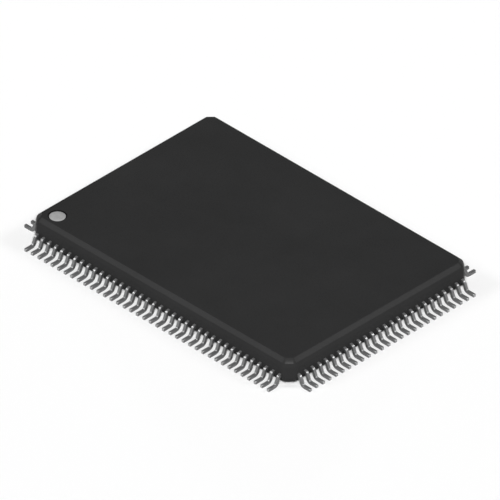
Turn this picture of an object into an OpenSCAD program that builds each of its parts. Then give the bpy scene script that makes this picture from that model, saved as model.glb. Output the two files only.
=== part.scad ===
// Rectangular quad flat package: a moulded body with gull-wing leads on all four sides, and
// the die paddle, chip and bond wires that the moulding seals in.
// Millimetres. The origin is the middle of the package on the seating plane that the feet
// stand on. +X runs along the long side, +Z is up, and pin one is at the -X, -Y corner.
// The front side faces -Y, the right side +X, the rear +Y and the left -X.

/* [Lead rows] */
// Distance from one lead to the next
pitch = 0.5; // [0.45:0.01:0.65]
// Leads on each long side, front and rear
leads_long = 38; // [32:1:50]
// Leads on each short side, left and right
leads_short = 26; // [24:1:36]
// Distance from the middle of a row's last lead to the end of the body
end_margin = 0.69; // [0.66:0.01:1.2]

/* [Lead form] */
// Width of a lead outside the body
lead_w = 0.165; // [0.14:0.005:0.26]
// Thickness of the lead frame sheet
lead_t = 0.19; // [0.1:0.01:0.2]
// How far the foot tips stand out from the body
lead_reach = 0.96; // [0.85:0.01:1.4]
// Flat shoulder between the body and the first bend
shoulder_flat = 0.01; // [0.01:0.01:0.1]
// Inside radius of the shoulder bend
shoulder_r = 0.075; // [0.06:0.005:0.16]
// Inside radius of the heel bend
heel_r = 0.115; // [0.06:0.005:0.16]
// Slope of the leg between its bends, in degrees from level
leg_slope = 67; // [52:1:80]

/* [Body] */
// Thickness of the body
body_h = 1.42; // [1.34:0.02:1.9]
// Gap between the underside and the seating plane
standoff = 0.22; // [0.05:0.01:0.25]
// Height of the lead frame's mid plane, the parting line, above the underside
parting_h = 0.42; // [0.4:0.01:0.66]
// Leg of the chamfer on each upright corner
corner_cut = 0.5; // [0.3:0.05:0.6]
// Setback of the facet that eases each edge of those chamfers
corner_ease = 0.1; // [0.04:0.01:0.14]
// Draft of the side walls, in degrees
draft = 2; // [1:0.5:10]
// Bevel of 45 degrees along the top edges
edge_bevel = 0.23; // [0.1:0.01:0.3]
// Height of the steep band under that bevel
band_h = 0.21; // [0.1:0.01:0.3]
// How far the steep band leans in
band_in = 0.07; // [0.04:0.01:0.15]
// Height of the leaning skirt along the bottom edges
skirt_h = 0.23; // [0.1:0.01:0.3]
// How far the skirt leans in
skirt_in = 0.08; // [0.04:0.01:0.15]

/* [Moulded marks] */
// Diameter of the pin one dimple
dimple_d = 1.06; // [0.8:0.02:1.3]
// Depth of the pin one dimple
dimple_depth = 0.06; // [0.05:0.01:0.15]
// Middle of the dimple from the end of the body
dimple_end = 1.16; // [0.95:0.01:2.5]
// Middle of the dimple from the side of the body
dimple_side = 1.03; // [0.95:0.01:2]
// Gap around the ink of the pin one mark, inside the dimple
mark_clear = 0.08; // [0.01:0.01:0.1]
// Thickness of that ink
mark_t = 0.03; // [0.02:0.01:0.04]
// Diameter of the ejector pin marks in the underside
ejector_d = 1.6; // [1:0.1:2.4]
// Depth of the ejector pin marks
ejector_depth = 0.05; // [0.03:0.01:0.1]
// Middle of each ejector pin mark from the end and the side of the body
ejector_inset = 2.6; // [2:0.1:3.5]

/* [Inner lead frame] */
// How far the lead fingers reach in from the wall of the body
finger_reach = 3.8; // [3.2:0.1:4.2]
// Straight root of each finger inside the wall
finger_root = 0.25; // [0.15:0.05:0.4]
// Gap between the tips of neighbouring fingers
finger_gap = 0.1; // [0.08:0.01:0.14]
// Gap from the finger tips to the die paddle
paddle_gap = 0.4; // [0.3:0.05:0.6]
// How far the paddle is set down below the leads
downset = 0.15; // [0.12:0.01:0.22]
// Width of the tie bars at the corners of the paddle
tie_w = 0.2; // [0.12:0.02:0.24]
// Gap between a tie bar and the finger tips beside it
tie_clear = 0.1; // [0.06:0.01:0.14]
// Level run of a tie bar before it bends up
tie_level = 0.1; // [0.05:0.05:0.3]
// Moulding left over the end of each tie bar
tie_cover = 0.15; // [0.1:0.05:0.4]

/* [Chip] */
// Length of the silicon die
die_l = 8.8; // [7:0.1:10]
// Width of the silicon die
die_w = 3.6; // [2.8:0.1:4.2]
// Thickness of the silicon die
die_t = 0.28; // [0.2:0.01:0.32]
// Thickness of the die attach
attach_t = 0.03; // [0.02:0.01:0.05]
// Rim of die attach that shows around the die
attach_rim = 0.15; // [0.05:0.05:0.3]
// Middle of the bond pads from the edge of the die
pad_inset = 0.1; // [0.08:0.01:0.15]
// Last bond pad of a row from the corner of the die
pad_corner = 0.25; // [0.2:0.05:0.4]

/* [Bond wires] */
// Thickness of a bond wire
wire_t = 0.025; // [0.02:0.005:0.03]
// Height of the wire loops above the die
loop_h = 0.15; // [0.1:0.01:0.2]
// Share of a wire's span at which its loop turns down
loop_turn = 0.35; // [0.25:0.05:0.5]
// Width of the ball bond across its flats
ball_w = 0.07; // [0.05:0.005:0.08]
// Height of the ball bond
ball_h = 0.02; // [0.015:0.005:0.03]
// Start of the stitch bond from the tip of its finger
stitch_start = 0.2; // [0.15:0.05:0.4]
// Length of the stitch bond along its finger
stitch_l = 0.1; // [0.05:0.01:0.15]

/* [Hidden] */

$fn = 64;
// Flats in each bend of a lead
bend_steps = 6;
// Flats around a ball bond
ball_sides = 8;
// How far cutting shapes run past what they cut
overrun = 1;
// Turn of the facets beside the corner chamfers, from the wall, in degrees
ease_turn = 22.5;

sides = ["front", "right", "rear", "left"];

body_l = (leads_long - 1) * pitch + 2 * end_margin;
body_w = (leads_short - 1) * pitch + 2 * end_margin;
body_top = standoff + body_h;
parting_z = standoff + parting_h;

// Lead frame sheet and the ring that its finger tips lie on
sheet_top = parting_z + lead_t / 2;
sheet_bottom = parting_z - lead_t / 2;
ring_l = body_l - 2 * finger_reach;
ring_w = body_w - 2 * finger_reach;
ring_corner = (tie_w / 2 + tie_clear) * sqrt(2);
paddle_l = ring_l - 2 * paddle_gap;
paddle_w = ring_w - 2 * paddle_gap;

// Stack on the paddle, from the bottom up
paddle_top = sheet_top - downset;
die_bottom = paddle_top + attach_t;
die_top = die_bottom + die_t;
loop_top = die_top + loop_h;

// Formed lead: both bends turn through the leg's slope
leg_drop = sheet_bottom - (shoulder_r + heel_r + lead_t) * (1 - cos(leg_slope));
bend_run = (shoulder_r + heel_r + lead_t) * sin(leg_slope) + leg_drop / tan(leg_slope);

// Values of one side: its turn, leads, wall, ring and die, seen from that side
function side_turn(side) = 90 * search([side], sides)[0];
function is_long(side) = side == "front" || side == "rear";
function lead_count(side) = is_long(side) ? leads_long : leads_short;
function wall_y(side) = -(is_long(side) ? body_w : body_l) / 2;
function ring_y(side) = wall_y(side) + finger_reach;
function ring_half(side) = (is_long(side) ? ring_l : ring_w) / 2 - ring_corner;
function die_half(side) = (is_long(side) ? die_l : die_w) / 2;
function die_y(side) = -(is_long(side) ? die_w : die_l) / 2;

// Places in a row: leads, finger tips and bond pads
function centred(i, side) = i - (lead_count(side) - 1) / 2;
function lead_x(i, side) = centred(i, side) * pitch;
function tip_pitch(side) = (2 * ring_half(side) + finger_gap) / lead_count(side);
function tip_x(i, side) = centred(i, side) * tip_pitch(side);
function tip_w(side) = tip_pitch(side) - finger_gap;
function pad_pitch(side) = 2 * (die_half(side) - pad_corner) / (lead_count(side) - 1);
function pad_point(i, side) = [centred(i, side) * pad_pitch(side), die_y(side) + pad_inset];
function tip_point(i, side) = [tip_x(i, side), ring_y(side)];
function root_point(i, side) = [lead_x(i, side), wall_y(side) + finger_root];
function stitch_point(i, side) =
    let (tip = tip_point(i, side), along = root_point(i, side) - tip)
    tip + along * stitch_start / norm(along);

function arc(centre, r, from, to) =
    [for (k = [0 : bend_steps])
        let (a = from + (to - from) * k / bend_steps)
        centre + r * [cos(a), sin(a)]];

// Outline of one lead as it is stamped, from past its foot to its finger tip
function lead_plan(i, side) =
    let (x = lead_x(i, side), tip = tip_x(i, side), half = lead_w / 2, tip_half = tip_w(side) / 2)
    let (outer = wall_y(side) - lead_reach - overrun, root = wall_y(side) + finger_root)
    [[x - half, outer], [x + half, outer], [x + half, root],
     [tip + tip_half, ring_y(side)], [tip - tip_half, ring_y(side)], [x - half, root]];

// Side view of the formed sheet as [y, z], over the top and back along the underside
function lead_profile(side) =
    let (inner = ring_y(side) + overrun, tip = wall_y(side) - lead_reach)
    let (bend = wall_y(side) - shoulder_flat)
    let (shoulder = [bend, sheet_bottom - shoulder_r], heel = [bend - bend_run, lead_t + heel_r])
    concat(
        [[inner, sheet_top]],
        arc(shoulder, shoulder_r + lead_t, 90, 90 + leg_slope),
        arc(heel, heel_r, 270 + leg_slope, 270),
        [[tip, lead_t], [tip, 0]],
        arc(heel, heel_r + lead_t, 270, 270 + leg_slope),
        arc(shoulder, shoulder_r, 90 + leg_slope, 90),
        [[inner, sheet_bottom]]);

// Cross section of the body as [distance, z], for walls that stand this far from the middle
function body_profile(half) =
    let (band_z = body_top - edge_bevel - band_h, skirt_z = standoff + skirt_h)
    let (wall = half - (band_z - parting_z) * tan(draft))
    let (skirt = half - (parting_z - skirt_z) * tan(draft))
    let (flank = [
        [skirt - skirt_in, standoff], [skirt, skirt_z], [half, parting_z], [wall, band_z],
        [wall - band_in, body_top - edge_bevel], [wall - band_in - edge_bevel, body_top]])
    concat(flank, [for (k = [len(flank) - 1 : -1 : 0]) [-flank[k].x, flank[k].y]]);

// Side view of one bond wire over a span, from its ball at the die to its stitch
function wire_profile(span) =
    let (turn = span * loop_turn, half = wire_t / 2)
    [[-half, die_top], [-half, loop_top], [turn, loop_top],
     [span, sheet_top + wire_t], [span + stitch_l, sheet_top + wire_t],
     [span + stitch_l, sheet_top], [span, sheet_top],
     [turn, loop_top - wire_t], [half, loop_top - wire_t], [half, die_top]];

// Turns a front side shape to another side
module on_side(side) {
    rotate([0, 0, side_turn(side)]) children();
}

// Extrudes a [y, z] outline along X, evenly about the middle
module along_x(length) {
    rotate([90, 0, 90]) linear_extrude(length, center = true) children();
}

// The stamped outlines of one row of leads, cut through the height between two levels
module lead_blanks(side, bottom, top) {
    on_side(side) translate([0, 0, bottom]) linear_extrude(top - bottom)
        for (i = [0 : lead_count(side) - 1]) polygon(lead_plan(i, side));
}

// One row of leads: the formed sheet, cut along the stamped outlines
module lead_row(side) {
    intersection() {
        on_side(side) along_x(body_l + body_w) polygon(lead_profile(side));
        lead_blanks(side, -overrun, body_top);
    }
}

// One tie bar along its own diagonal, from inside the paddle's corner up to the leads' level
module tie_bar() {
    reach = (finger_reach + paddle_gap - corner_cut / 2) * sqrt(2) - tie_cover;
    rise = tie_level + downset;
    translate([0, tie_w / 2, paddle_top]) rotate([90, 0, 0]) linear_extrude(tie_w)
        polygon([[-tie_w, 0], [tie_level, 0], [rise, downset], [reach, downset],
                 [reach, downset - lead_t], [rise, downset - lead_t], [tie_level, -lead_t],
                 [-tie_w, -lead_t]]);
}

module bond_wire(i, side) {
    pad = pad_point(i, side);
    run = stitch_point(i, side) - pad;
    translate(pad) rotate([0, 0, atan2(run.y, run.x)]) {
        translate([0, wire_t / 2, 0]) rotate([90, 0, 0]) linear_extrude(wire_t)
            polygon(wire_profile(norm(run)));
        translate([0, 0, die_top])
            cylinder(d = ball_w / cos(180 / ball_sides), h = ball_h, $fn = ball_sides);
    }
}

module wire_row(side) {
    on_side(side) for (i = [0 : lead_count(side) - 1]) bond_wire(i, side);
}

// Places a child at the pin one dimple, on the top of the body
module at_dimple() {
    translate([dimple_end - body_l / 2, dimple_side - body_w / 2, body_top]) children();
}

// Outer form of the moulding: what the sections across its walls, corners and facets share
module body_form() {
    cut = corner_cut + corner_ease;
    long_ease = body_w / 2 * cos(ease_turn) + (body_l / 2 - cut) * sin(ease_turn);
    short_ease = body_l / 2 * cos(ease_turn) + (body_w / 2 - cut) * sin(ease_turn);
    corner_half = (body_l / 2 + body_w / 2 - corner_cut) / sqrt(2);
    walls = [[0, body_w / 2], [90, body_l / 2], [45, corner_half], [-45, corner_half],
             [ease_turn, long_ease], [-ease_turn, long_ease],
             [90 - ease_turn, short_ease], [ease_turn - 90, short_ease]];
    intersection_for (wall = walls)
        rotate([0, 0, wall[0]]) along_x(body_l + body_w) polygon(body_profile(wall[1]));
}

module ejector_marks() {
    for (x = [-1, 1], y = [-1, 1])
        translate([x * (body_l / 2 - ejector_inset), y * (body_w / 2 - ejector_inset),
                   standoff - overrun])
            cylinder(d = ejector_d, h = overrun + ejector_depth);
}

module mould_body() {
    color("#2f2f30") difference() {
        body_form();
        at_dimple() translate([0, 0, -dimple_depth])
            cylinder(d = dimple_d, h = dimple_depth + overrun);
        ejector_marks();
        for (side = sides) {
            lead_blanks(side, sheet_bottom, sheet_top);
            wire_row(side);
        }
        die_paddle();
        die_attach();
        silicon_die();
    }
}

module pin_one_mark() {
    color("#a0a0a0") at_dimple() translate([0, 0, -dimple_depth])
        cylinder(d = dimple_d - 2 * mark_clear, h = mark_t);
}

module die_paddle() {
    color("#b87348") {
        translate([-paddle_l / 2, -paddle_w / 2, paddle_top - lead_t])
            cube([paddle_l, paddle_w, lead_t]);
        for (x = [-1, 1], y = [-1, 1])
            translate([x * paddle_l / 2, y * paddle_w / 2, 0]) rotate([0, 0, atan2(y, x)]) tie_bar();
    }
}

module die_attach() {
    color("#b9bbbd")
        translate([-die_l / 2 - attach_rim, -die_w / 2 - attach_rim, paddle_top])
            cube([die_l + 2 * attach_rim, die_w + 2 * attach_rim, attach_t]);
}

module silicon_die() {
    color("#5b6270") translate([-die_l / 2, -die_w / 2, die_bottom]) cube([die_l, die_w, die_t]);
}

module leads(side) {
    color("#b4b6b8") lead_row(side);
}

module bond_wires(side) {
    color("#d9a93c") wire_row(side);
}

mould_body();
pin_one_mark();
die_paddle();
die_attach();
silicon_die();
leads("front");  // front_leads
leads("right");  // right_leads
leads("rear");  // rear_leads
leads("left");  // left_leads
bond_wires("front");  // front_bond_wires
bond_wires("right");  // right_bond_wires
bond_wires("rear");  // rear_bond_wires
bond_wires("left");  // left_bond_wires
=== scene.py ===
import math

import bmesh
import bpy
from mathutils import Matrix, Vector


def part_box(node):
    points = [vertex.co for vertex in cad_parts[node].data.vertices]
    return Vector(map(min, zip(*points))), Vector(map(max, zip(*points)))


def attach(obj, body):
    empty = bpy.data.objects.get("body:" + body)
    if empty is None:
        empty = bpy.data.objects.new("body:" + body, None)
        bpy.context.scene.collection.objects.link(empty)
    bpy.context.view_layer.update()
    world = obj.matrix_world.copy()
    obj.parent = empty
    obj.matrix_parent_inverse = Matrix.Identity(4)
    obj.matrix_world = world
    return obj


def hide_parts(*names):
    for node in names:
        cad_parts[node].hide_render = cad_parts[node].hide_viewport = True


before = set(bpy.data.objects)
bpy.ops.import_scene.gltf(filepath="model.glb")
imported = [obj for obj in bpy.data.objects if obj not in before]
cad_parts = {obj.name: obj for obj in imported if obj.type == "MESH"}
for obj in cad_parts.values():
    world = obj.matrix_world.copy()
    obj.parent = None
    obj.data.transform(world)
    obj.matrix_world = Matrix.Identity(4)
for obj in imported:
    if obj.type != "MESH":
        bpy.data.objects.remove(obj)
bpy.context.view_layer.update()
print("frame loaded:", len(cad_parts), "nodes")

mm = 0.001  # pieces are shaped in millimetres and brought to metres when they are finished
near = 0.002  # millimetres within which an edge or a face counts as being at a place
mergeWithin = 0.0001  # millimetres within which corners become one
squarely = 0.9  # a face looks along an axis when its normal has this much of it
faceWeight = 100  # how much the larger faces set the shading beside them
bodyLow, bodyHigh = (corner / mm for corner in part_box("mould_body"))
frontLow, frontHigh = (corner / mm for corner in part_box("front_leads"))
rightLow, rightHigh = (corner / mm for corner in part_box("right_leads"))
markLow, markHigh = (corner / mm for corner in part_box("pin_one_mark"))


# Small helpers for working in edit mode
def clearSelection():
    if bpy.context.mode != "OBJECT":
        bpy.ops.object.mode_set(mode="OBJECT")
    bpy.ops.object.select_all(action="DESELECT")


def makeActive(obj):
    clearSelection()
    obj.select_set(True)
    bpy.context.view_layer.objects.active = obj


def startEdit(obj, kind):
    makeActive(obj)
    bpy.ops.object.mode_set(mode="EDIT")
    bpy.ops.mesh.select_mode(type=kind)
    bpy.ops.mesh.select_all(action="DESELECT")


def pickFaces(obj, wanted):
    bpy.ops.mesh.select_mode(type="FACE")
    bpy.ops.mesh.select_all(action="DESELECT")
    mesh = bmesh.from_edit_mesh(obj.data)
    for face in mesh.faces:
        if wanted(face.calc_center_median(), face.normal):
            face.select_set(True)
    bmesh.update_edit_mesh(obj.data)


def pickEdges(obj, wanted):
    bpy.ops.mesh.select_mode(type="EDGE")
    bpy.ops.mesh.select_all(action="DESELECT")
    mesh = bmesh.from_edit_mesh(obj.data)
    for edge in mesh.edges:
        if wanted(edge):
            edge.select_set(True)
    bmesh.update_edit_mesh(obj.data)


def closeMesh():  # merges doubled corners and turns all faces outwards
    bpy.ops.mesh.select_all(action="SELECT")
    bpy.ops.mesh.remove_doubles(threshold=mergeWithin)
    bpy.ops.mesh.normals_make_consistent(inside=False)


def newPrimitive(name, adder, **sizes):
    clearSelection()
    adder(**sizes)
    obj = bpy.context.active_object
    obj.name = name
    obj.data.name = name
    bpy.ops.object.transform_apply(location=True, rotation=True, scale=True)
    return obj


def applyModifier(obj, kind, **values):
    makeActive(obj)
    modifier = obj.modifiers.new(kind.title(), kind)
    for key, value in values.items():
        setattr(modifier, key, value)
    bpy.ops.object.modifier_apply(modifier=modifier.name)


def copyOf(obj, name):
    twin = obj.copy()
    twin.data = obj.data.copy()
    twin.name = name
    twin.data.name = name
    bpy.context.scene.collection.objects.link(twin)
    return twin


def finishPiece(obj, form, node):
    makeActive(obj)
    obj.scale = (mm, mm, mm)
    bpy.ops.object.transform_apply(location=True, rotation=True, scale=True)
    bpy.ops.object.shade_smooth_by_angle(angle=math.radians(form["smoothUnder"]))
    applyModifier(obj, "WEIGHTED_NORMAL", keep_sharp=True, weight=faceWeight)  # flat faces shade flat
    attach(obj, "root")
    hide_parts(node)
    print("piece", obj.name, len(obj.data.polygons), "faces")


# Shader helpers
nodeStep = 220  # nodes stand in a row, in the order they are made
noiseSpan = (0.3, 0.7)  # nearly all values of a noise lie between these
mixFirst, mixSecond, mixResult = 6, 7, 2  # the colour sockets of a Mix node
white = (1, 1, 1)


def addNode(tree, kind, **settings):  # a setting is one of the node's own or the name of an input
    made = tree.nodes.new(kind)
    made.location.x = nodeStep * len(tree.nodes)
    for key, value in settings.items():
        if hasattr(made, key):
            setattr(made, key, value)
        else:
            made.inputs[key.replace("_", " ")].default_value = value
    return made


def addGroup(tree, group, **values):
    made = addNode(tree, "ShaderNodeGroup", node_tree=group)
    for key, value in values.items():
        made.inputs[key].default_value = value
    return made


def newMaterial(name):
    material = bpy.data.materials.new(name)
    material.use_nodes = True
    tree = material.node_tree
    tree.nodes.clear()
    coords = addNode(tree, "ShaderNodeTexCoord")
    shader = addNode(tree, "ShaderNodeBsdfPrincipled")
    output = addNode(tree, "ShaderNodeOutputMaterial")
    tree.links.new(shader.outputs["BSDF"], output.inputs["Surface"])
    return material, tree, shader, coords.outputs["Object"]


def groupSockets(group, sizes, layers):
    group.interface.new_socket("Vector", in_out="INPUT", socket_type="NodeSocketVector")
    for name in sizes:
        group.interface.new_socket(name, in_out="INPUT", socket_type="NodeSocketFloat")
    for name in layers:
        group.interface.new_socket(name, in_out="OUTPUT", socket_type="NodeSocketFloat")
    return addNode(group, "NodeGroupInput"), addNode(group, "NodeGroupOutput")


def makeNoiseGroup(name, layers, roughness):  # a noise for each layer, with an input for its size
    group = bpy.data.node_groups.new(name, "ShaderNodeTree")
    sizes = [layer + "Size" for layer in layers]
    source, target = groupSockets(group, sizes, layers)
    for size, (layer, detail) in zip(sizes, layers.items()):
        scale = addNode(group, "ShaderNodeMath", operation="DIVIDE")
        scale.inputs[0].default_value = 1
        group.links.new(source.outputs[size], scale.inputs[1])
        noise = addNode(group, "ShaderNodeTexNoise", Detail=detail, Roughness=roughness)
        group.links.new(source.outputs["Vector"], noise.inputs["Vector"])
        group.links.new(scale.outputs[0], noise.inputs["Scale"])
        group.links.new(noise.outputs["Fac"], target.inputs[layer])
    return group


# Fine grain and slow clouds of moulded and printed surfaces, and the forming lines and bloom of metal
grainGroup = makeNoiseGroup("surfaceGrain", layers={"Grain": 3, "Cloud": 5}, roughness=0.6)
drawnGroup = makeNoiseGroup("drawnMetal", layers={"Line": 2, "Bloom": 4}, roughness=0.55)


def rampBetween(tree, source, dark, light, span=noiseSpan):
    ramp = addNode(tree, "ShaderNodeValToRGB")
    start, end = ramp.color_ramp.elements
    start.position, end.position = span
    start.color = (*dark, 1)
    end.color = (*light, 1)
    tree.links.new(source, ramp.inputs["Fac"])
    return ramp.outputs["Color"]


def rangeBetween(tree, source, low, high):
    least, most = noiseSpan
    span = addNode(tree, "ShaderNodeMapRange", From_Min=least, From_Max=most, To_Min=low, To_Max=high)
    tree.links.new(source, span.inputs["Value"])
    return span.outputs["Result"]


def dressShader(tree, shader, look, colour, fine):  # the fine layer sets both gloss and bump
    tree.links.new(colour, shader.inputs["Base Color"])
    tree.links.new(rangeBetween(tree, fine, *look["roughness"]), shader.inputs["Roughness"])
    bump = addNode(tree, "ShaderNodeBump", Strength=look["bump"], Distance=look["depth"] * mm)
    tree.links.new(fine, bump.inputs["Height"])
    tree.links.new(bump.outputs["Normal"], shader.inputs["Normal"])


def grainMaterial(name, look):
    material, tree, shader, coords = newMaterial(name)
    grain = addGroup(tree, grainGroup, GrainSize=look["grain"] * mm, CloudSize=look["cloud"] * mm)
    tree.links.new(coords, grain.inputs["Vector"])
    colour = rampBetween(tree, grain.outputs["Cloud"], look["dark"], look["light"])
    dressShader(tree, shader, look, colour, grain.outputs["Grain"])
    shader.inputs["Specular IOR Level"].default_value = look["specular"]
    return material


def paintedSideShade(tree, colour, look, shadedAxis):  # painted shade: the sides of a strip, which face along the axis, are darkened in its colour
    surface = addNode(tree, "ShaderNodeNewGeometry")
    facing = addNode(tree, "ShaderNodeVectorMath", operation="DOT_PRODUCT")
    tree.links.new(surface.outputs["Normal"], facing.inputs[0])
    facing.inputs[1].default_value = shadedAxis
    side = addNode(tree, "ShaderNodeMath", operation="ABSOLUTE")
    tree.links.new(facing.outputs["Value"], side.inputs[0])
    # painted shade: the nearer a face's normal lies to the axis, the darker its colour
    shadeFactor = rampBetween(tree, side.outputs[0], white, look["sideShade"], look["sideShadeSpan"])
    both = addNode(tree, "ShaderNodeMix", data_type="RGBA", blend_type="MULTIPLY", Factor=1)
    tree.links.new(colour, both.inputs[mixFirst])
    tree.links.new(shadeFactor, both.inputs[mixSecond])
    return both.outputs[mixResult]


def metalMaterial(name, look, stretch, shadedAxis=None):  # painted shade darkens the sides that look along the given axis
    material, tree, shader, coords = newMaterial(name)
    mapping = addNode(tree, "ShaderNodeMapping", Scale=stretch)
    tree.links.new(coords, mapping.inputs["Vector"])
    drawn = addGroup(tree, drawnGroup, LineSize=look["line"] * mm, BloomSize=look["bloom"] * mm)
    tree.links.new(mapping.outputs["Vector"], drawn.inputs["Vector"])
    colour = rampBetween(tree, drawn.outputs["Bloom"], look["dark"], look["light"])
    if shadedAxis:
        colour = paintedSideShade(tree, colour, look, shadedAxis)
    dressShader(tree, shader, look, colour, drawn.outputs["Line"])
    shader.inputs["Metallic"].default_value = look["metallic"]
    return material


# Finishes, sizes in millimetres
compoundLook = {"dark": (0.0262, 0.0262, 0.0264), "light": (0.0302, 0.0302, 0.0304), "grain": 0.05,
                "cloud": 3.5, "roughness": (0.26, 0.32), "bump": 0.25, "depth": 0.006, "specular": 0.04}
pinLook = {"dark": (0.010, 0.010, 0.0102), "light": (0.013, 0.013, 0.0132), "grain": 0.03, "cloud": 0.5,
           "roughness": (0.2, 0.28), "bump": 0.1, "depth": 0.002, "specular": 0.2}
inkLook = {"dark": (0.30, 0.30, 0.30), "light": (0.38, 0.38, 0.38), "grain": 0.06, "cloud": 0.25,
           "roughness": (0.6, 0.75), "bump": 0.3, "depth": 0.006, "specular": 0.3}
attachLook = {"dark": (0.42, 0.43, 0.44), "light": (0.56, 0.57, 0.58), "grain": 0.02, "cloud": 0.5,
              "roughness": (0.45, 0.6), "bump": 0.3, "depth": 0.004, "specular": 0.5}
siliconLook = {"dark": (0.03, 0.035, 0.05), "light": (0.08, 0.09, 0.13), "grain": 0.03, "cloud": 0.4,
               "roughness": (0.12, 0.2), "bump": 0.05, "depth": 0.001, "specular": 0.8}
# the tin's side colour and its span set the painted shade on the leads' sides
tinLook = {"dark": (0.34, 0.342, 0.345), "light": (0.42, 0.422, 0.425), "line": 0.02, "bloom": 0.2,
           "roughness": (0.28, 0.36), "bump": 0.15, "depth": 0.003, "metallic": 0.75,
           "sideShade": (0.42, 0.42, 0.42), "sideShadeSpan": (0.4, 0.8)}
copperLook = {"dark": (0.62, 0.33, 0.20), "light": (0.78, 0.46, 0.30), "line": 0.03, "bloom": 0.8,
              "roughness": (0.3, 0.42), "bump": 0.15, "depth": 0.003, "metallic": 1}
goldLook = {"dark": (0.78, 0.52, 0.16), "light": (0.90, 0.68, 0.28), "line": 0.01, "bloom": 0.2,
            "roughness": (0.2, 0.3), "bump": 0.1, "depth": 0.001, "metallic": 1}
linesAlongX = (0.15, 1, 1)  # the pattern is drawn out along the axis with the small value
linesAlongY = (1, 0.15, 1)
evenLines = (1, 1, 1)

compound = grainMaterial("mouldCompound", compoundLook)
pinPolish = grainMaterial("mouldPinPolish", pinLook)  # left by the polished pins that form the round marks
markInk = grainMaterial("markInk", inkLook)
attachEpoxy = grainMaterial("attachEpoxy", attachLook)
# the tin rows get painted shade on the sides that face along the axis given here
tinLongSides = metalMaterial("tinPlateLongSides", tinLook, linesAlongY, shadedAxis=(1, 0, 0))
tinShortSides = metalMaterial("tinPlateShortSides", tinLook, linesAlongX, shadedAxis=(0, 1, 0))
copper = metalMaterial("frameCopper", copperLook, linesAlongX)
gold = metalMaterial("bondGold", goldLook, evenLines)
silicon = grainMaterial("silicon", siliconLook)
print("materials made")

# Moulded body, sizes in millimetres and angles in degrees
bodyForm = {
    "partingHeight": 0.64, "skirtHeight": 0.23, "skirtIn": 0.08, "draft": 2,
    "bandHeight": 0.21, "bandIn": 0.07, "edgeBevel": 0.23, "cornerCut": 0.5, "cornerEase": 0.1,
    "edgeRound": 0.025, "edgeSteps": 2, "roundOver": 14, "smoothUnder": 30,
    "dimpleClear": 0.08, "ejectorRadius": 0.8, "ejectorDepth": 0.05, "ejectorInset": 2.6,
    "roundSides": 64, "cutOver": 0.2, "rimRound": 0.012, "rimSteps": 2,
}


def shapeHalves(body, form):  # draws the outline at the parting line out into both halves of the moulding
    slope = math.tan(math.radians(form["draft"]))
    parting = form["partingHeight"]
    wallHeight = bodyHigh.z - form["edgeBevel"] - form["bandHeight"] - parting
    footHeight = parting - form["skirtHeight"] - bodyLow.z
    # lower half, down from the parting line
    startEdit(body, "FACE")
    bpy.ops.mesh.select_all(action="SELECT")
    bpy.ops.mesh.duplicate()
    bpy.ops.mesh.flip_normals()
    bpy.ops.mesh.inset(thickness=footHeight * slope, depth=footHeight)
    bpy.ops.mesh.inset(thickness=form["skirtIn"], depth=form["skirtHeight"])
    # upper half: drafted wall, steep band and the bevel around the top
    pickFaces(body, lambda centre, normal: normal.z > squarely)
    bpy.ops.mesh.inset(thickness=wallHeight * slope, depth=wallHeight)
    bpy.ops.mesh.inset(thickness=form["bandIn"], depth=form["bandHeight"])
    bpy.ops.mesh.inset(thickness=form["edgeBevel"], depth=form["edgeBevel"])
    closeMesh()
    bpy.ops.object.mode_set(mode="OBJECT")


def cutRound(body, form, centre, radius, bottom, top):
    cutter = newPrimitive("cutter", bpy.ops.mesh.primitive_cylinder_add, vertices=form["roundSides"],
                          radius=radius, depth=top - bottom,
                          location=(centre.x, centre.y, (top + bottom) / 2))
    cutter.data.materials.append(pinPolish)
    applyModifier(body, "BOOLEAN", operation="DIFFERENCE", solver="EXACT", material_mode="TRANSFER",
                  object=cutter)
    bpy.data.objects.remove(cutter)


def roundRim(body, form, centre, radius, height):  # softens the edge where a round mark meets the face
    middle = Vector((centre.x, centre.y, height))

    def onRim(edge):
        ends = [corner.co - middle for corner in edge.verts]
        return all(abs(end.z) < near and abs(end.xy.length - radius) < near for end in ends)

    startEdit(body, "EDGE")
    pickEdges(body, onRim)
    bpy.ops.mesh.bevel(offset=form["rimRound"], segments=form["rimSteps"], affect="EDGES")
    bpy.ops.object.mode_set(mode="OBJECT")


def cutMarks(body, form):  # the pin one dimple on top, the ejector pins' marks underneath
    dimple = (markLow + markHigh) / 2
    dimpleRadius = (markHigh.x - markLow.x) / 2 + form["dimpleClear"]
    cutRound(body, form, dimple, dimpleRadius, markLow.z, bodyHigh.z + form["cutOver"])
    roundRim(body, form, dimple, dimpleRadius, bodyHigh.z)
    pinX, pinY = bodyHigh.x - form["ejectorInset"], bodyHigh.y - form["ejectorInset"]
    pinBottom, pinTop = bodyLow.z - form["cutOver"], bodyLow.z + form["ejectorDepth"]
    for x in (-pinX, pinX):
        for y in (-pinY, pinY):
            pin = Vector((x, y, 0))
            cutRound(body, form, pin, form["ejectorRadius"], pinBottom, pinTop)
            roundRim(body, form, pin, form["ejectorRadius"], bodyLow.z)


def buildBody(form):
    size = bodyHigh - bodyLow
    body = newPrimitive("moulded_body", bpy.ops.mesh.primitive_plane_add, size=1,
                        location=(0, 0, form["partingHeight"]))
    body.scale = (size.x, size.y, 1)
    bpy.ops.object.transform_apply(scale=True)
    body.data.materials.append(compound)
    startEdit(body, "VERT")
    for cut in (form["cornerCut"], form["cornerEase"]):  # chamfers the corners, then eases the chamfers' own
        bpy.ops.mesh.select_all(action="SELECT")
        bpy.ops.mesh.bevel(offset=cut, offset_type="OFFSET", affect="VERTICES", segments=1)
    shapeHalves(body, form)
    applyModifier(body, "BEVEL", width=form["edgeRound"], segments=form["edgeSteps"], limit_method="ANGLE",
                  angle_limit=math.radians(form["roundOver"]))
    cutMarks(body, form)
    return body


finishPiece(buildBody(bodyForm), bodyForm, "mould_body")

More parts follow.
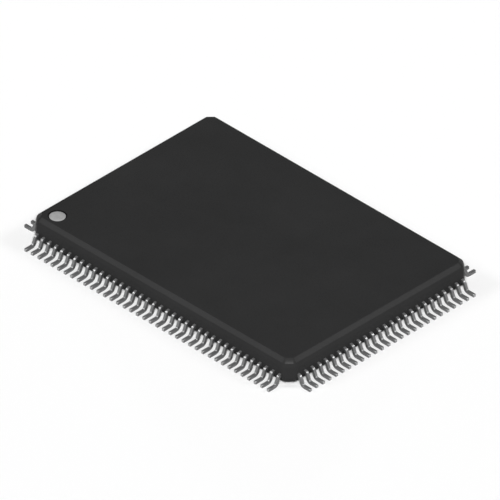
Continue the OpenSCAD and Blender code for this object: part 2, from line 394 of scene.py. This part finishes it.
# Leads, sizes in millimetres and angles in degrees
leadForm = {
    "width": 0.165, "thickness": 0.19, "pitch": 0.5, "flat": 0.01, "shoulderRadius": 0.075,
    "heelRadius": 0.115, "slope": 67, "bendSteps": 4, "root": 0.25, "tipGap": 0.1, "ringCorner": 0.283,
    "edgeRound": 0.014, "roundOver": 50, "smoothUnder": 40,
}


def buildLead(form, tipY, wallY):  # one lead of the front side, from its foot to its root inside the wall
    width, thick, slope = form["width"], form["thickness"], math.radians(form["slope"])
    sheetBottom = bodyForm["partingHeight"] - thick / 2
    turns = form["shoulderRadius"] + form["heelRadius"] + thick
    legDrop = sheetBottom - turns * (1 - math.cos(slope))
    legRun = legDrop / math.tan(slope)
    bendY = wallY - form["flat"]
    heelY = bendY - turns * math.sin(slope) - legRun
    lead = newPrimitive("lead", bpy.ops.mesh.primitive_cube_add, size=1)
    lead.scale = (width, heelY - tipY, thick)
    lead.location = (0, (heelY + tipY) / 2, thick / 2)
    bpy.ops.object.transform_apply(location=True, scale=True)
    startEdit(lead, "FACE")
    pickFaces(lead, lambda centre, normal: normal.y > squarely)
    bpy.ops.mesh.spin(steps=form["bendSteps"], angle=-slope, axis=(1, 0, 0),
                      center=(0, heelY, thick + form["heelRadius"]))
    bpy.ops.mesh.extrude_region_move(TRANSFORM_OT_translate={"value": (0, legRun, legDrop)})
    bpy.ops.mesh.spin(steps=form["bendSteps"], angle=slope, axis=(1, 0, 0),
                      center=(0, bendY, sheetBottom - form["shoulderRadius"]))
    bpy.ops.mesh.extrude_region_move(TRANSFORM_OT_translate={"value": (0, wallY + form["root"] - bendY, 0)})
    closeMesh()
    bpy.ops.object.mode_set(mode="OBJECT")
    return lead


def drawFinger(lead, form, rootY, move, tipWidth):  # the lead's finger inside the moulding, out from its root
    startEdit(lead, "FACE")
    pickFaces(lead, lambda centre, normal: centre.y > rootY - near)
    bpy.ops.mesh.extrude_region_move(TRANSFORM_OT_translate={"value": move})
    bpy.ops.transform.resize(value=(tipWidth / form["width"], 1, 1))
    bpy.ops.object.mode_set(mode="OBJECT")


def buildRow(form, name, reach, halfRow, ringHalf):  # one row of the front side, each lead with its finger
    tipY, wallY, ringY = reach
    first = buildLead(form, tipY, wallY)
    count = round((2 * halfRow - form["width"]) / form["pitch"]) + 1
    tipPitch = (2 * ringHalf + form["tipGap"]) / count
    rootY = wallY + form["root"]
    leads = [first] + [copyOf(first, "lead") for extra in range(count - 1)]
    for number, lead in enumerate(leads):
        place = number - (count - 1) / 2
        lead.location.x = place * form["pitch"]
        makeActive(lead)
        bpy.ops.object.transform_apply(location=True)
        move = (place * (tipPitch - form["pitch"]), ringY - rootY, 0)
        drawFinger(lead, form, rootY, move, tipPitch - form["tipGap"])
    clearSelection()
    for lead in leads:
        lead.select_set(True)
    bpy.context.view_layer.objects.active = first
    bpy.ops.object.join()
    first.name = name
    first.data.name = name
    applyModifier(first, "BEVEL", width=form["edgeRound"], segments=1, limit_method="ANGLE",
                  angle_limit=math.radians(form["roundOver"]))
    return first


def turned(obj, quarters):
    makeActive(obj)
    obj.rotation_euler.z = quarters * math.pi / 2
    bpy.ops.object.transform_apply(rotation=True)
    return obj


longReach = (frontLow.y, bodyLow.y, frontHigh.y)
shortReach = (-rightHigh.x, -bodyHigh.x, -rightLow.x)
longRing = rightLow.x - leadForm["ringCorner"]
shortRing = -frontHigh.y - leadForm["ringCorner"]
frontRow = buildRow(leadForm, "front_lead_row", longReach, frontHigh.x, longRing)
rightRow = buildRow(leadForm, "right_lead_row", shortReach, rightHigh.y, shortRing)
rearRow = turned(copyOf(frontRow, "rear_lead_row"), 2)
leftRow = turned(copyOf(rightRow, "left_lead_row"), 3)
turned(rightRow, 1)
for row, material, node in ((frontRow, tinLongSides, "front_leads"), (rightRow, tinShortSides, "right_leads"),
                            (rearRow, tinLongSides, "rear_leads"), (leftRow, tinShortSides, "left_leads")):
    row.data.materials.append(material)
    finishPiece(row, leadForm, node)

# Ink of the pin one mark, sizes in millimetres and angles in degrees
inkForm = {"sides": 64, "edge": 0.02, "edgeFall": 0.012, "crown": 0.12, "crownFall": 0.004, "smoothUnder": 40}


def buildMark(form):
    middle = (markLow + markHigh) / 2
    rim = markHigh.z - form["edgeFall"] - form["crownFall"]
    mark = newPrimitive("pin_one_ink", bpy.ops.mesh.primitive_cylinder_add, vertices=form["sides"],
                        radius=(markHigh.x - markLow.x) / 2, depth=rim - markLow.z,
                        location=(middle.x, middle.y, (rim + markLow.z) / 2))
    startEdit(mark, "FACE")
    pickFaces(mark, lambda centre, normal: normal.z > squarely)
    bpy.ops.mesh.inset(thickness=form["edge"], depth=form["edgeFall"])
    bpy.ops.mesh.inset(thickness=form["crown"], depth=form["crownFall"])
    bpy.ops.object.mode_set(mode="OBJECT")
    mark.data.materials.append(markInk)
    return mark


finishPiece(buildMark(inkForm), inkForm, "pin_one_mark")

# Pieces inside the moulding keep their CAD form and take these finishes
innerFinish = {"die_paddle": copper, "die_attach": attachEpoxy, "silicon_die": silicon,
               "front_bond_wires": gold, "right_bond_wires": gold,
               "rear_bond_wires": gold, "left_bond_wires": gold}
for node, material in innerFinish.items():
    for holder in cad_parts[node].material_slots:
        holder.material = material
print("inner pieces finished:", len(innerFinish))

# Floor and sky in metres, lamps and camera with angles in degrees
studio = {"floorSize": 1.2, "floorDepth": 0.1, "floorColour": (0.97, 0.97, 0.97),
          "bounceColour": (0.2, 0.2, 0.2), "floorRoughness": (0.85, 0.95), "fibreScale": 900,
          "fibreDetail": 3, "skyLevel": 0.05}
lamps = {"key": {"turn": 45, "height": 41, "power": 3.8, "spread": 15},
         "left": {"turn": -45, "height": 35, "power": 0.47, "spread": 14},
         "right": {"turn": 135, "height": 35, "power": 0.47, "spread": 14},
         "rearLeft": {"turn": -113, "height": 1.5, "power": 0.9, "spread": 8},
         "rearRight": {"turn": 203, "height": 1.5, "power": 0.9, "spread": 8}}
shot = {"turn": 45, "height": math.degrees(math.atan(math.sqrt(0.5))),  # all three axes equally foreshortened
        "width": 26.973 * mm, "aim": 0.797 * mm, "distance": 200 * mm, "nearest": 0.001, "farthest": 10}


def towards(turn, height):  # the direction that a view or a light comes from
    turn, height = math.radians(turn), math.radians(height)
    return Vector((math.sin(turn) * math.cos(height), -math.cos(turn) * math.cos(height), math.sin(height)))


def seenDirectly(tree):  # one for rays from the camera and for those that metal or glass sends on
    ray = addNode(tree, "ShaderNodeLightPath")
    sent = addNode(tree, "ShaderNodeMath", operation="MAXIMUM")
    tree.links.new(ray.outputs["Is Glossy Ray"], sent.inputs[0])
    tree.links.new(ray.outputs["Is Transmission Ray"], sent.inputs[1])
    seen = addNode(tree, "ShaderNodeMath", operation="MAXIMUM")
    tree.links.new(ray.outputs["Is Camera Ray"], seen.inputs[0])
    tree.links.new(sent.outputs[0], seen.inputs[1])
    return seen.outputs[0]


def paperMaterial(settings):
    material, tree, shader, coords = newMaterial("paperFloor")
    fibre = addNode(tree, "ShaderNodeTexNoise", Scale=settings["fibreScale"], Detail=settings["fibreDetail"])
    tree.links.new(coords, fibre.inputs["Vector"])
    rough = rangeBetween(tree, fibre.outputs["Fac"], *settings["floorRoughness"])
    tree.links.new(rough, shader.inputs["Roughness"])
    colours = settings["bounceColour"], settings["floorColour"]
    colour = rampBetween(tree, seenDirectly(tree), *colours, span=(0, 1))
    tree.links.new(colour, shader.inputs["Base Color"])
    shader.inputs["Specular IOR Level"].default_value = 0
    inside = addNode(tree, "ShaderNodeNewGeometry")  # a low view starts inside the slab and sees white there
    shader.inputs["Emission Color"].default_value = (*white, 1)
    tree.links.new(inside.outputs["Backfacing"], shader.inputs["Emission Strength"])
    material.cycles.emission_sampling = "NONE"  # its glow stays inside and lights nothing
    return material


def buildFloor(settings):
    floor = newPrimitive("floor", bpy.ops.mesh.primitive_cube_add, size=1,
                         location=(0, 0, -0.5))  # its top is at zero
    floor.scale = (settings["floorSize"], settings["floorSize"], settings["floorDepth"])
    bpy.ops.object.transform_apply(scale=True)
    floor.data.materials.append(paperMaterial(settings))


def buildSky(settings):  # a dim even sky, so that the lamps shape the object
    world = bpy.data.worlds.new("studioSky")
    bpy.context.scene.world = world
    world.use_nodes = True
    tree = world.node_tree
    tree.nodes.clear()
    sky = addNode(tree, "ShaderNodeBackground", Color=(*white, 1), Strength=settings["skyLevel"])
    output = addNode(tree, "ShaderNodeOutputWorld")
    tree.links.new(sky.outputs["Background"], output.inputs["Surface"])


def buildLamp(name, settings):
    data = bpy.data.lights.new(name, "SUN")
    data.energy = settings["power"]
    data.angle = math.radians(settings["spread"])
    lamp = bpy.data.objects.new(name, data)
    lamp.rotation_euler = towards(settings["turn"], settings["height"]).to_track_quat("Z", "Y").to_euler()
    bpy.context.scene.collection.objects.link(lamp)


def buildCamera(settings):
    data = bpy.data.cameras.new("camera")
    data.type = "ORTHO"
    data.ortho_scale = settings["width"]
    data.clip_start = settings["nearest"]
    data.clip_end = settings["farthest"]
    camera = bpy.data.objects.new("camera", data)
    back = towards(settings["turn"], settings["height"])
    camera.location = Vector((0, 0, settings["aim"])) + back * settings["distance"]
    camera.rotation_euler = back.to_track_quat("Z", "Y").to_euler()
    bpy.context.scene.collection.objects.link(camera)
    bpy.context.scene.camera = camera


buildFloor(studio)
buildSky(studio)
for name, settings in lamps.items():
    buildLamp(name, settings)
buildCamera(shot)
bpy.context.scene.view_settings.view_transform = "Standard"
print("floor, light and camera set")
